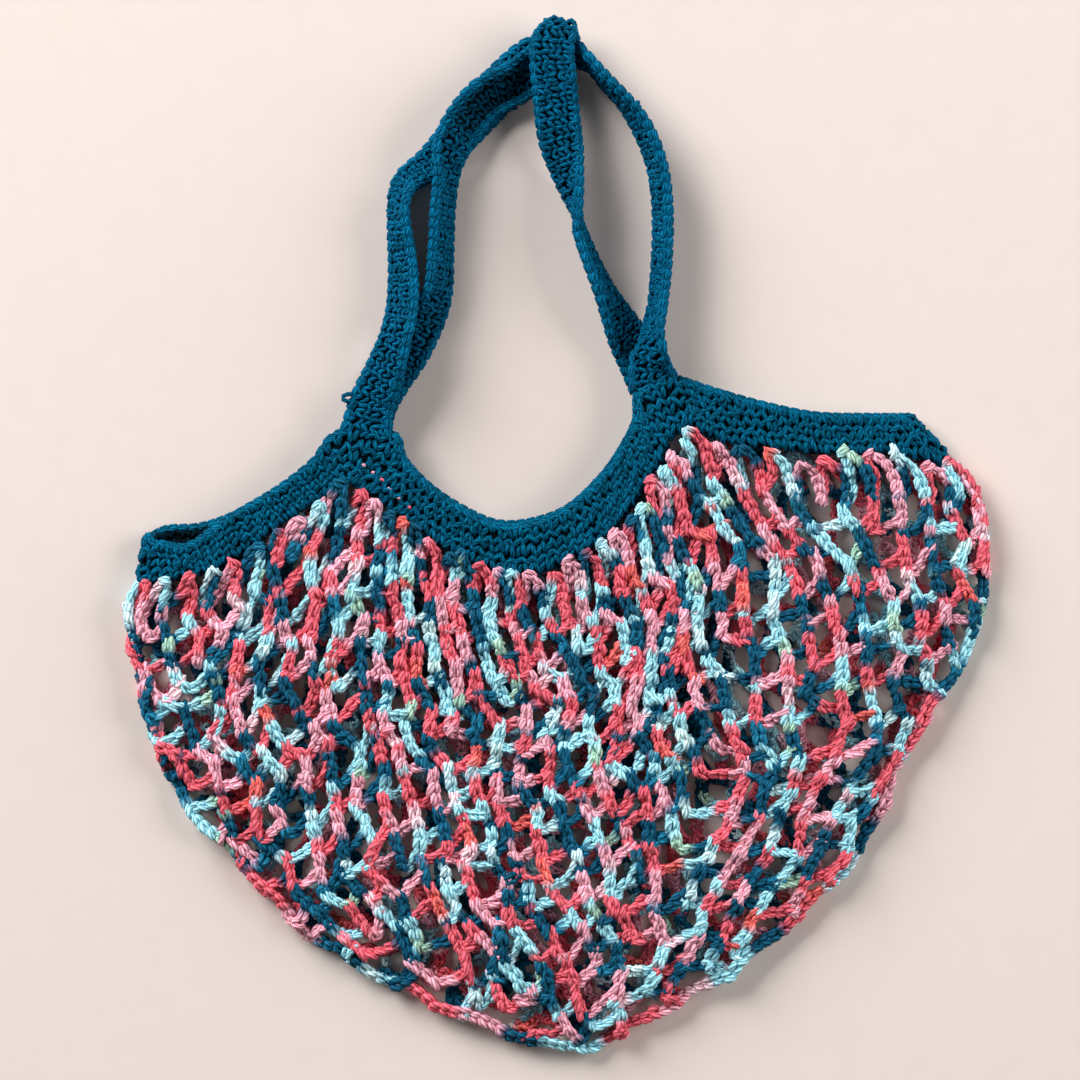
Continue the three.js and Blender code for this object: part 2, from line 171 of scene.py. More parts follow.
def free_height(gap):
    """The free height inside the pouch: low at the fold, and full from BELLY_REACH on."""
    f = np.minimum(gap / BELLY_REACH, 1.0)
    return FOLD_GAP + (BELLY - FOLD_GAP) * f * (2 - f)


print("fold line: %.0f mm" % (run_of(fine_edge)[-1] / MM))

# %% [markdown]
# ## The pouch as a closed ring of rows
#
# The pouch was worked in the round, so every row of loops is a ring: across the front, round the
# right fold, across the back, and round the left fold. One function turns a place on that ring and
# a depth below the band into a point and a normal. The rows follow the band at the top, lie level
# further down, and shorten towards the tip.

# %% Plan of the pouch: rows from fold to fold
FOLD_POINTS, MOUTH_POINTS = 301, 401
net_line = np.concatenate([band_low[:1], edge[2:-2], band_low[-1:]])
left_fold = spline(net_line, np.linspace(0, TIP, FOLD_POINTS))
right_fold = spline(net_line, np.linspace(len(net_line) - 1, TIP, FOLD_POINTS))
mouth_line = spline(band_low, np.linspace(0, len(band_low) - 1, MOUTH_POINTS))
mouth_run = run_of(mouth_line)


def mouth_side(share):
    """The place on the band's low edge after a share of its length."""
    return at_run(mouth_line, mouth_run / mouth_run[-1], share)


def fold_at(line, t):
    """The place on a fold that has sunk by a share of the way to the tip."""
    level = line[0, 1] + (line[-1, 1] - line[0, 1]) * t
    return np.stack([np.interp(-level, -line[:, 1], line[:, 0]), level], axis=-1)


print("low edge of the band: %.0f mm" % (mouth_run[-1] / MM))

# %% From a place on the ring to a point on the pouch
FOLD_ARC = 11 * MM
BACK_LEVEL = 3.4 * MM
FOLD_REACH = FOLD_ROUND - NET_WALL / 2
BAND_LIFT, LIFT_HOLD, LIFT_REACH = 3.6 * MM, 1.25, 0.04
MOUTH_SHARES = ([0, 0.24, 0.5, 0.745, 1], [0, 0.263, 0.475, 0.688, 1])
GATHER_DEPTH, DEEPEST = 0.75, 0.998
TOP_FADE = 1.2


def raised(plan, z):
    """The points of a plan at their heights."""
    return np.concatenate([plan, np.broadcast_to(z, len(plan))[:, None]], axis=1)


def crowd(f, t):
    """The gathers: more loops lie under the dip of the band than at its sides."""
    top = np.interp(f, *MOUTH_SHARES)
    fade = np.clip(t / GATHER_DEPTH, 0, 1)
    fade = fade * fade * (3 - 2 * fade)
    return top * (1 - fade) + f * fade


def pouch(theta, t):
    """Points and normals for places on the ring (0 to 1) and depths (0 at the band, 1 at the tip)."""
    theta, t = np.broadcast_arrays(np.mod(theta, 1.0), t)
    back = theta >= 0.5
    local = np.where(back, theta - 0.5, theta)
    depth = np.clip(t, 0, DEEPEST)
    left, right = fold_at(left_fold, depth), fold_at(right_fold, depth)
    wide = np.linalg.norm(right - left, axis=1)
    share = 0.5 * wide / (wide + FOLD_ARC)
    f = np.clip(local / share, 0, 1)
    s = crowd(np.where(back, 1 - f, f), depth)
    s1 = s[:, None]
    dip = mouth_side(s) - mouth_side(0.0) * (1 - s1) - mouth_side(1.0) * s1
    plan = left + (right - left) * s1 + dip * ((1 - depth) ** TOP_FADE)[:, None]
    gap, out = to_fold(plan)
    top = BAND_WALL + free_height(gap) + NET_WALL / 2
    side = np.where(back, -1.0, 1.0)
    angle = math.pi * np.clip((local - share) / (0.5 - share), 0, 1)
    z = (top + BACK_LEVEL) / 2 + side * (top - BACK_LEVEL) / 2 * np.cos(angle)
    z = z + np.where(back, 0, np.clip(LIFT_HOLD - t / LIFT_REACH, 0, 1) * BAND_LIFT)
    reach = FOLD_REACH * np.sin(angle)
    normal = unit(raised(out * np.sin(angle)[:, None], side * np.cos(angle)))
    return raised(plan + out * reach[:, None], z), normal


probe, _ = pouch(np.linspace(0, 0.48, 5), 0.5)
print("across the front, half way down (mm):", np.round(probe[:, :2] / MM).astype(int).tolist())

# %% [markdown]
# ## Yarn tubes
#
# All the crochet is made of one thing: a short length of yarn that follows a few points. Curve
# objects with a bevel would give that too, but ten thousand of them are slow. Here all tubes of a
# piece are worked out together as arrays and become one mesh, with few faces a stitch. Each tube is
# closed at both ends, and carries a UV map (round and along the yarn) for the plies and a dye colour.

# %% A store of tubes that becomes one mesh
PLY_SHIFT = 0.05
FLOOR_GAP = 0.1 * MM


class YarnPiece:
    def __init__(self, name):
        self.name = name
        self.parts = []

    def tubes(self, paths, radii, normals, colours, sides):
        """paths (n, rings, 3), radii (n, rings), normals (n, 3) and colours (n, rings, 3)."""
        count, rings = paths.shape[:2]
        way = unit(np.gradient(paths, axis=1))
        across = unit(np.cross(way, normals[:, None]))
        over = np.cross(across, way)
        turn = 2 * math.pi * np.arange(sides) / sides
        spoke = across[:, :, None] * np.cos(turn)[:, None] + over[:, :, None] * np.sin(turn)[:, None]
        points = paths[:, :, None] + radii[:, :, None, None] * spoke
        index = np.arange(count * rings * sides).reshape(count, rings, sides)
        after = np.roll(index, -1, axis=2)
        quads = np.stack([index[:, :-1], index[:, 1:], after[:, 1:], after[:, :-1]], axis=-1).reshape(-1, 4)
        steps = np.linalg.norm(np.diff(paths, axis=1), axis=2)
        length = np.pad(np.cumsum(steps, axis=1), ((0, 0), (1, 0))) + rng.random((count, 1)) * PLY_SHIFT
        u0, u1 = np.arange(sides) / sides, np.arange(1, sides + 1) / sides
        v0, v1 = length[:, :-1, None], length[:, 1:, None]
        corners = ((u0, v0), (u0, v1), (u1, v1), (u1, v0))
        uv = np.stack([np.stack(np.broadcast_arrays(*corner), axis=-1) for corner in corners], axis=3)
        caps = np.concatenate([index[:, 0], index[:, -1, ::-1]])
        cap_uv = np.stack([np.tile(u0, len(caps)), np.repeat(length[:, [0, -1]].T.ravel(), sides)], axis=1)
        tint = np.repeat(colours[:, :, None], sides, axis=2).reshape(-1, 3)
        self.parts.append((points.reshape(-1, 3), [(quads, uv.reshape(-1, 2)), (caps, cap_uv)], tint))

    def mesh(self, material):
        """All parts as one object."""
        stores = points, tints, corners, sizes, uvs = [], [], [], [], []
        base = 0
        for spots, groups, tint in self.parts:
            points.append(spots)
            tints.append(tint)
            for faces, uv in groups:
                corners.append((faces + base).ravel())
                sizes.append(np.full(len(faces), faces.shape[1]))
                uvs.append(uv)
            base += len(spots)
        points, tints, corners, sizes, uvs = map(np.concatenate, stores)
        points[:, 2] = np.maximum(points[:, 2], FLOOR_GAP)
        mesh = bpy.data.meshes.new(self.name)
        starts = np.concatenate([[0], np.cumsum(sizes)[:-1]])
        rgba = np.concatenate([tints, np.ones((len(tints), 1))], axis=1)
        for store, size, field, values in (
                (mesh.vertices, len(points), "co", points.astype(np.float32)),
                (mesh.loops, len(corners), "vertex_index", corners.astype(np.int32)),
                (mesh.polygons, len(sizes), "loop_start", starts.astype(np.int32))):
            store.add(size)
            store.foreach_set(field, values.ravel())
        layer = mesh.uv_layers.new(name="yarn")
        layer.data.foreach_set("uv", uvs.astype(np.float32).ravel())
        dye = mesh.attributes.new("dye", "FLOAT_COLOR", "POINT")
        dye.data.foreach_set("color", rgba.astype(np.float32).ravel())
        mesh.polygons.foreach_set("use_smooth", np.ones(len(sizes), bool))
        mesh.update(calc_edges=True)
        mesh.validate()
        mesh.materials.append(material)
        piece = bpy.data.objects.new(self.name, mesh)
        bpy.context.collection.objects.link(piece)
        print("%s: %d triangles" % (self.name, (sizes - 2).sum()))
        return piece


# %% [markdown]
# ## Stitches
#
# A chain stitch looks like a V: two legs that start inside the stitch before, bulge out over it,
# and tuck under the next one, with a small bump across the back. A single crochet stitch shows two
# short legs: a V on one row, and flatter legs the other way up on the next, because the work is
# turned after each row. A knot shows two lengths side by side over a join. Each shape is given as a
# few points in its own small frame, and then set down at every place.

# %% The shapes of the stitches: sideways, forwards, up and thickness
CHAIN_V = np.array([
    (-0.55, 1.20, -0.85, 0.72), (-1.00, 0.78, 0.15, 1.00), (-0.72, 0.28, 0.55, 1.05),
    (0.00, -0.12, -0.55, 0.85),
    (0.72, 0.28, 0.55, 1.05), (1.00, 0.78, 0.15, 1.00), (0.55, 1.20, -0.85, 0.72),
])
CHAIN_BUMP = np.array([(-0.75, 0.40, -0.70, 0.70), (0.0, 0.52, -1.20, 0.85), (0.75, 0.64, -0.70, 0.70)])
CROCHET_LEG = np.array([
    (0.0, -0.66, -0.55, 0.75), (0.0, -0.26, 0.45, 1.00), (0.0, 0.26, 0.50, 1.02), (0.0, 0.66, -0.60, 0.75),
])
KNOT_LEG = np.array([
    (0.0, 1.00, -0.60, 0.80), (0.0, 0.60, 0.75, 1.00), (0.0, 0.0, 1.20, 1.05),
    (0.0, -0.60, 0.75, 1.00), (0.0, -1.00, -0.60, 0.80),
])


def set_down(shape, place, side, way, normal, half, pitch, yarn):
    """Copies of a stitch: half its width, its pitch and its yarn's radius are one value a copy."""
    a, b, h, r = shape.T
    half, pitch, yarn = (np.broadcast_to(v, len(place))[:, None, None] for v in (half, pitch, yarn))
    path = (place[:, None] + side[:, None] * (a[None, :, None] * half)
            + way[:, None] * (b[None, :, None] * pitch) + normal[:, None] * (h[None, :, None] * yarn))
    return path, r[None, :] * yarn[:, :, 0]


def rolled(side, normal, angle):
    c, s = np.cos(angle)[:, None], np.sin(angle)[:, None]
    return side * c + normal * s, normal * c - side * s


print("points in a chain stitch: %d" % (len(CHAIN_V) + len(CHAIN_BUMP)))

# %% [markdown]
# ## The dye
#
# The yarn of the pouch was dyed in short lengths: coral, pink, pale aqua, deep teal and now and
# then mint, each for two to six stitches. The colour follows the yarn, row after row, and not the
# shape of the bag, so the colours fall by chance as they do on the real one. A list of lengths is
# written down once and stretched a little at random.

# %% Colours in order along the yarn
def linear(red, green, blue):
    c = np.array([red, green, blue]) / 255.0
    return np.where(c <= 0.04045, c / 12.92, ((c + 0.055) / 1.055) ** 2.4)


CORAL, FLAME = linear(238, 104, 120), linear(240, 110, 106)
PINK, BLUSH = linear(244, 172, 190), linear(250, 206, 216)
AQUA, FROST, MINT = linear(166, 230, 244), linear(208, 244, 252), linear(172, 212, 190)
DEEP, LAGOON = linear(10, 86, 116), linear(26, 116, 150)
DYE_RUN = [
    (CORAL, 6), (PINK, 5), (BLUSH, 2), (AQUA, 5), (DEEP, 5), (CORAL, 5), (FLAME, 3), (AQUA, 4), (FROST, 2),
    (DEEP, 5), (PINK, 6), (CORAL, 6), (DEEP, 4), (LAGOON, 2), (AQUA, 5), (MINT, 2), (DEEP, 4), (CORAL, 6),
    (PINK, 5), (LAGOON, 2), (DEEP, 4), (FROST, 2), (AQUA, 4), (CORAL, 5), (PINK, 5), (DEEP, 5), (AQUA, 5),
]
DYE_REPEATS = 80
DYE_BLEED = 0.8
DYE_STRETCH, DYE_TONE = (0.65, 1.4), (0.86, 1.14)

dye_colours = np.array([colour for colour, _ in DYE_RUN] * DYE_REPEATS)
dye_lengths = np.array([size for _, size in DYE_RUN] * DYE_REPEATS)
dye_lengths = dye_lengths * rng.uniform(*DYE_STRETCH, len(dye_colours))
dye_colours = np.clip(dye_colours * rng.uniform(*DYE_TONE, (len(dye_colours), 1)), 0, 1)
dye_ends = np.cumsum(dye_lengths)


def dyed(at):
    """The yarn's colour at a place along it, counted in stitches, with soft changes."""
    k = np.minimum(np.searchsorted(dye_ends, at), len(dye_ends) - 2)
    past = np.clip((at - dye_ends[k]) / DYE_BLEED + 1, 0, 1)[..., None]
    return dye_colours[k] * (1 - past) + dye_colours[k + 1] * past


print("dyed yarn: %d lengths, %.0f stitches" % (len(dye_ends), dye_ends[-1]))

# %% [markdown]
# ## The net
#
# Each row of the pouch is one chain in loops that hang from the row above: a steep arm down, a turn,
# and a slacker arm up to the side of the next loop. Each foot is knotted round the turn of a loop
# above, which makes the slanted cells. They lean most under the right peak and at the lower left, and
# lie level at the lower right. The first row hangs from small arches on the band's lower edge. Rows
# get shorter towards the tip, and the columns of cells that run out at the folds are dropped there.
# First the feet and turns of all loops are placed, each foot at the knot that is nearest to a spot
# above its turn, then the arms are drawn.

# %% Places of the feet and turns
ROWS = 18
LOOPS_AT = ([0, 0.12, 0.25, 0.4, 0.55, 0.7, 0.83, 0.89, 0.95], [86, 78, 69, 58, 49, 39, 26, 17, 7])
FIRST_FOOT, LAST_TURN = 0.028, 0.985
FOOT_SHAKE, TURN_SHAKE = (0.12, 0.006), (0.16, 0.009)
SLANT, RIGHT_LEAN, RIGHT_FADE, LEFT_LEAN, LEVEL_LEAN = 0.36, 0.85, 1.5, 0.45, 0.5
RIGHT_PEAK, LOWER_LEFT, LOWER_RIGHT = (0.36, 0.065), (0.10, 0.10), (0.41, 0.1)
LEVEL_FROM, LEVEL_FADE = 0.25, 0.3
JOIN, JOIN_SPREAD, LEVEL_JOIN = 0.4, 0.15, 0.4
FRONT_MIDDLE, FRONT_SPAN = 0.25, (0.03, 0.45, 169)
HEIGHT_COUNTS = [1, 1, 3]
loops = np.round(np.interp(np.arange(ROWS) / ROWS, *LOOPS_AT)).astype(int)
row_depth = FIRST_FOOT + (LAST_TURN - FIRST_FOOT) * np.arange(ROWS + 1) / ROWS
across_front = np.linspace(*FRONT_SPAN)


def bell(x, middle, reach, power=2):
    """1 at the middle, and less the further from it."""
    return np.exp(-((x - middle) / reach) ** power)


def level_side(theta, depth):
    """How far a place is in the lower right of the front, where the cells lie level."""
    return bell(theta, *LOWER_RIGHT) * np.clip((depth - LEVEL_FROM) / LEVEL_FADE, 0, 1)


def shaken(places, depth, spread):
    """Places on the ring and their depths, each a little off: by a share of a loop, and in depth."""
    count = len(places)
    return np.stack([places + rng.normal(0, spread[0], count) / count,
                     depth + rng.normal(0, spread[1], count)], axis=1)


def turns_below(knots, count, depth):
    """The turns of a row, evenly spaced, and in step with the row above at the middle of the front."""
    middle, _ = pouch(*knots[[np.abs(knots[:, 0] - FRONT_MIDDLE).argmin()]].T)
    level, _ = pouch(across_front, depth)
    start = np.interp(middle[0, 0], level[:, 0], across_front) + SLANT / count
    return shaken(np.mod(start, 1 / count) + np.arange(count) / count, depth, TURN_SHAKE)


def feet_above(knots, turns, depth):
    """For each turn the knot nearest to a spot above it, a little back, each knot used once."""
    here, _ = pouch(*turns.T)
    above, _ = pouch(turns[:, 0], depth)
    lean = (SLANT + RIGHT_LEAN * bell(turns[:, 0], *RIGHT_PEAK) * (1 - depth) ** RIGHT_FADE
            + LEFT_LEAN * bell(turns[:, 0], *LOWER_LEFT) * depth
            - LEVEL_LEAN * level_side(turns[:, 0], depth))
    goal, _ = pouch(turns[:, 0] - lean / len(turns), turns[:, 1])
    goal[:, 1] += above[:, 1] - here[:, 1]
    spots, _ = pouch(*knots.T)
    apart = (goal[:, None] - spots[None]) * HEIGHT_COUNTS
    near = (apart ** 2).sum(axis=2).argmin(axis=1)
    # the knots are counted on from lap to lap, so that their numbers can be made to rise all the way
    order = near + len(knots) * np.round(turns[:, 0] - knots[near, 0]).astype(int)
    step = np.arange(len(order))
    order = np.maximum.accumulate(order - step) + step
    order[-1] = min(order[-1], order[0] + len(knots) - 1)
    order = np.minimum.accumulate((order - step)[::-1])[::-1] + step
    lap, index = np.divmod(order, len(knots))
    return knots[index] + np.stack([lap, 0 * lap], axis=1)


net_rows = []
knots = shaken(np.arange(loops[0]) / loops[0], FIRST_FOOT, FOOT_SHAKE)
for row, count in enumerate(loops):
    turns = turns_below(knots, count, row_depth[row + 1])
    feet = feet_above(knots, turns, row_depth[row])
    next_foot, next_turn = (np.concatenate([spots[1:], spots[:1] + [[1.0, 0.0]]]) for spots in (feet, turns))
    join = rng.uniform(JOIN - JOIN_SPREAD, JOIN + JOIN_SPREAD, (count, 1)) if row else 0
    join = join + LEVEL_JOIN * level_side(turns[:, :1], row_depth[row])
    net_rows.append((feet, turns, next_foot + join * (next_turn - next_foot)))
    knots = turns[turns[:, 0].argsort()]
print("loops a row:", loops.tolist())

# %% One row as arms: down to each turn, and up to the next loop's arm
ARM_STEPS = 8
DOWN_BOW, UP_BOW = (0.0, 0.45), (0.1, 0.7)
arm = np.arange(ARM_STEPS + 1)[None, :] / ARM_STEPS


def arms(start, end, bows):
    """Lines from each start to its end, which leave the start steeply and reach the end level."""
    bow = rng.uniform(*bows, (len(start), 1))
    sink = arm + bow * (np.sin(arm * math.pi / 2) - arm)
    drift = arm + bow * (1 - np.cos(arm * math.pi / 2) - arm)
    return start[:, None] + np.stack([drift, sink], axis=-1) * (end - start)[:, None]


print("points an arm:", arm.size)

# %% Draw the arms and hang the chains on them
CHAIN_PITCH, CHAIN_HALF = 5.7 * MM, 1.95 * MM
YARN_A_CHAIN = 1.12
LINK_REACH = 0.4
ARCH_HALF, ARCH_RISE, ARCH_SLACK = 0.34, 0.019, 2.2
ARCH_WIDTHS, ARCH_HEIGHTS = (0.5, 1.2), (0.5, 1.35)
WAVE_HEIGHT = 0.6 * MM
WAVES = ((0.031, 0.044, 0.4), (0.052, -0.027, 2.1), (-0.019, 0.061, 4.0))
SWAY, SWAY_SPREAD, ARM_SHAKE = 0.8, 0.9, 0.35 * MM
TIE_REACH = 0.03
links, ties = [], []
yarn_used = 0.0


def ripple(points):
    """Slow waves of the cloth, about a millimetre high."""
    return WAVE_HEIGHT * sum(np.sin(points[..., 0] / across + points[..., 1] / along + phase)
                             for across, along, phase in WAVES)


def hang_chain(points, normals, theta, row, slack):
    """Chain stitches at even steps along a line, and the yarn they use up."""
    global yarn_used
    run = run_of(points)
    count = max(int(round(run[-1] / CHAIN_PITCH)), 1)
    pitch = run[-1] / count
    middle = (np.arange(count) + 0.5) * pitch
    ahead, behind = (at_run(points, run, np.clip(middle + reach * pitch, 0, run[-1]))
                     for reach in (LINK_REACH, -LINK_REACH))
    way = unit(ahead - behind)
    links.append((at_run(points, run, middle) - 0.5 * pitch * way, way, unit(at_run(normals, run, middle)),
                  yarn_used + np.arange(count) * YARN_A_CHAIN,
                  *(np.full(count, value) for value in (np.mod(theta, 1), row, slack, pitch))))
    yarn_used += count * YARN_A_CHAIN


for row, (feet, turns, joins) in enumerate(net_rows):
    half = (0 if row else ARCH_HALF / len(feet)) * rng.uniform(*ARCH_WIDTHS, (len(feet), 1))
    aside = np.concatenate([half, 0 * half], axis=1)
    down = arms(feet + aside, turns, DOWN_BOW)
    up = arms(joins - np.roll(aside, -1, axis=0), turns, UP_BOW)[:, ::-1]
    rise = ARCH_RISE * rng.uniform(*ARCH_HEIGHTS, (len(feet), 1)) * np.sin(arm * math.pi)
    over = feet[:, None] + np.stack([(2 * arm - 1) * half, -rise], axis=-1)
    lines = np.stack([down, up] if row else [over, down, up], axis=1)
    points, normals = (v.reshape(*lines.shape[:3], 3) for v in pouch(*lines.reshape(-1, 2).T))
    points[..., 2] += np.where(normals[..., 2] > 0, ripple(points), 0)
    slack = np.array([0, 1] if row else [ARCH_SLACK, 0, 1])
    sway = rng.normal(0, SWAY_SPREAD, (len(feet), len(slack), 1)) + SWAY - 2 * SWAY * (slack[:, None] == 1)
    sway = MM * np.sin(arm[0] * math.pi) * sway
    points += normals * sway[..., None] + rng.normal(0, ARM_SHAKE, points.shape)
    used = []
    for k in range(len(feet)):
        used.append(yarn_used)
        for part in range(len(slack)):
            hang_chain(points[k, part], normals[k, part], lines[k, part, ARM_STEPS // 2, 0], row, slack[part])
    if row:
        above, _ = pouch(feet[:, 0], feet[:, 1] - TIE_REACH)
        spot = points[:, 0, 0]
        ties.append((spot, unit(above - spot), normals[:, 0, 0], np.array(used), np.mod(feet[:, 0], 1),
                     np.full(len(feet), row)))
print("chains hung:", len(links))

# %% The strand that lies along the fold
RIM_END, RIM_POINTS = 0.15, 601
RIM_IN, RIM_UP, RIM_SWAY = 1.2 * MM, 1 * MM, 1.3 * MM
RIM_WAVES, SLOW_WAVE = (6.7 * MM, 9.3 * MM), 0.37
RIM_OUT, RIM_OVER = 0.5, 0.85
rim_plan = spline(net_line, np.linspace(RIM_END, len(net_line) - 1 - RIM_END, RIM_POINTS))
rim_run = run_of(rim_plan)
_, rim_out = to_fold(rim_plan)
sway_in, sway_up = (RIM_SWAY * (np.sin(rim_run / wave) + np.sin(rim_run / wave * SLOW_WAVE + 1))
                    for wave in RIM_WAVES)
rim_level = (BAND_WALL + FOLD_GAP + NET_WALL / 2 + BACK_LEVEL) / 2
rim = raised(rim_plan + rim_out * (FOLD_REACH - RIM_IN + sway_in)[:, None], rim_level + RIM_UP + sway_up)
hang_chain(rim, unit(raised(RIM_OUT * rim_out, RIM_OVER)), FRONT_MIDDLE, ROWS, 0)

(link_place, link_way, link_normal, link_spool, link_theta, link_row, link_slack,
 link_pitch) = map(np.concatenate, zip(*links))
knot_place, knot_way, knot_normal, knot_spool, knot_theta, knot_row = map(np.concatenate, zip(*ties))
print("chain stitches: %d, knots: %d, yarn for %.0f stitches" % (len(link_place), len(knot_place), yarn_used))

# %% Turn the chains about their own line, as slack chains do
ROLL, ROLL_EACH, ROLL_WINDOW = 0.5, 0.24, 13
SLACK_SMALLER, LINK_SIZES, LINK_SHAKE = 0.08, (0.87, 1.16), 0.45 * MM
link_count = len(link_place)
link_normal = unit(link_normal - link_way * (link_normal * link_way).sum(axis=1, keepdims=True))
link_side = np.cross(link_way, link_normal)
window = np.hanning(ROLL_WINDOW)
window = window / np.linalg.norm(window)
slow = np.convolve(rng.normal(0, 1, link_count + ROLL_WINDOW - 1), window, mode="valid")
link_side, link_normal = rolled(link_side, link_normal, ROLL * slow + rng.normal(0, ROLL_EACH, link_count))
link_size = (1 - SLACK_SMALLER * link_slack) * rng.uniform(*LINK_SIZES, link_count)
link_place = link_place + link_side * rng.normal(0, LINK_SHAKE, (link_count, 1))
print("turn of the chains: about %.0f degrees either way" % math.degrees(ROLL))

# %% [markdown]
# ## The yarn's finish
#
# The cotton has four plies twisted together, with a slight gloss on each ply and grooves between
# them. Modelled plies would take a hundred faces a stitch, so the tubes are plain and a shader node
# group draws the plies from the UV map: a painted shade for the colour, dark in the grooves with a
# painted highlight on each crest and a random tone for each ply, and a height for the bump. The
# pouch and the teal pieces share the group, each with its own twist.

# %% A node group for the plies
PLY_INPUTS = ("Around", "Along", "Plies", "Twist", "Depth", "Fibre")
# The ply shade is painted: darker in the grooves, with a painted highlight on the crests. PLY_TONE and
# FIBRE_TONE are random tones.
CREST_PAINTED_HIGHLIGHT, GROOVE_PAINTED_SHADE, PLY_TONE = 1.6, 0.6, (0.36, 0.82)
FIBRE_RISE, FIBRE_TONE = 0.35, (0.24, 0.88)


def fill(tree, node, inputs):
    """Gives sockets of a node their numbers and links."""
    for socket, value in dict(inputs).items():
        if isinstance(value, bpy.types.NodeSocket):
            tree.links.new(value, node.inputs[socket])
        else:
            node.inputs[socket].default_value = value


def new_node(tree, kind, inputs=(), **settings):
    """A node of a kind, with its settings and its sockets filled."""
    node = tree.nodes.new(kind)
    for name, value in settings.items():
        setattr(node, name, value)
    fill(tree, node, inputs)
    return node


def ply_group():
    """A painted shade and a height for each place on a tube, with plies twisted round it: dark in the
    grooves, a painted highlight on each crest, times a random tone for each ply and fibre.
    """
    group = bpy.data.node_groups.new("yarn_plies", "ShaderNodeTree")
    for in_out, names in (("INPUT", PLY_INPUTS), ("OUTPUT", ("Shade", "Height"))):
        for name in names:
            group.interface.new_socket(name, in_out=in_out, socket_type="NodeSocketFloat")
    give, take = new_node(group, "NodeGroupInput"), new_node(group, "NodeGroupOutput")

    def maths(kind, *values):
        return new_node(group, "ShaderNodeMath", enumerate(values), operation=kind).outputs[0]

    around, along, plies, twist, depth, fibre = (give.outputs[name] for name in PLY_INPUTS)
    phase = maths("MULTIPLY_ADD", around, plies, maths("MULTIPLY", along, twist))
    hump = maths("SINE", maths("MULTIPLY", maths("FRACT", phase), math.pi))
    # Painted shade in the grooves between the plies, and a painted highlight on each crest.
    dark = maths("SUBTRACT", 1.0, maths("MULTIPLY", depth, GROOVE_PAINTED_SHADE))
    shade = maths("MULTIPLY_ADD", maths("POWER", hump, CREST_PAINTED_HIGHLIGHT), depth, dark)
    own = new_node(group, "ShaderNodeTexWhiteNoise", {"W": maths("FLOOR", phase)}, noise_dimensions="1D")
    tone = maths("MULTIPLY_ADD", own.outputs["Value"], *PLY_TONE)
    fuzz = maths("MULTIPLY_ADD", fibre, *FIBRE_TONE)
    fill(group, take, {"Shade": maths("MULTIPLY", maths("MULTIPLY", shade, fuzz), tone),
                       "Height": maths("MULTIPLY_ADD", fibre, FIBRE_RISE, hump)})
    return group


yarn_plies = ply_group()
print("shared group:", yarn_plies.name, [s.name for s in yarn_plies.interface.items_tree])

# %% Yarn materials
PLIES, FIBRE_SCALE, NOISE_DETAIL = 4.0, 1900.0, 2.0
PLY_BUMP, PLY_HEIGHT = 0.7, 0.5 * MM


def new_material(name):
    """A material, its tree of nodes and its shader."""
    material = bpy.data.materials.new(name)
    material.use_nodes = True
    return material, material.node_tree, material.node_tree.nodes["Principled BSDF"]


def noise_on(tree, scale):
    """Fine noise that keeps its place on the object."""
    spot = new_node(tree, "ShaderNodeTexCoord").outputs["Object"]
    noise = new_node(tree, "ShaderNodeTexNoise", {"Scale": scale, "Detail": NOISE_DETAIL, "Vector": spot})
    return noise.outputs["Fac"]


def yarn_finish(name, twist, depth, roughness, gloss):
    """Dyed cotton: the colour of each stitch times the painted shade and the random tones of its plies."""
    material, tree, shader = new_material(name)
    uv = new_node(tree, "ShaderNodeUVMap", uv_map="yarn").outputs["UV"]
    apart = new_node(tree, "ShaderNodeSeparateXYZ", {"Vector": uv}).outputs
    inputs = (apart["X"], apart["Y"], PLIES, twist, depth, noise_on(tree, FIBRE_SCALE))
    plies = new_node(tree, "ShaderNodeGroup", zip(PLY_INPUTS, inputs), node_tree=yarn_plies).outputs
    dye = new_node(tree, "ShaderNodeAttribute", attribute_name="dye").outputs["Color"]
    mix = new_node(tree, "ShaderNodeMix", {"Factor": 1.0, "A": dye, "B": plies["Shade"]},
                   data_type="RGBA", blend_type="MULTIPLY")
    bump = new_node(tree, "ShaderNodeBump", {"Strength": PLY_BUMP, "Distance": PLY_HEIGHT,
                                             "Height": plies["Height"]})
    fill(tree, shader, {"Roughness": roughness, "Specular IOR Level": gloss,
                        "Base Color": mix.outputs["Result"], "Normal": bump.outputs["Normal"]})
    return material


# depth sets how strong the painted shade in the grooves and the painted highlights on the crests are.
net_yarn = yarn_finish("net_yarn", twist=230.0, depth=0.85, roughness=0.65, gloss=0.12)
teal_yarn = yarn_finish("teal_yarn", twist=260.0, depth=0.95, roughness=0.7, gloss=0.04)
print("materials:", net_yarn.name, teal_yarn.name)

# %% [markdown]
# ## Four pieces of net
#
# The net is one cloth, but so many stitches in one mesh would be too heavy to handle, so it is kept
# as four meshes: the front and the back, each cut between two rows.

# %% Chains and knots become meshes
UPPER_ROWS = 6
YARN, CHAIN_SHAKE = 1.82 * MM, 0.22 * MM
KNOT_HALF, KNOT_LONG, KNOT_YARN, KNOT_DYE = 1.5 * MM, 3.7 * MM, 0.95 * YARN, 0.4
FRONT_SIDES, BACK_SIDES, KNOT_SIDES = 6, 4, 4


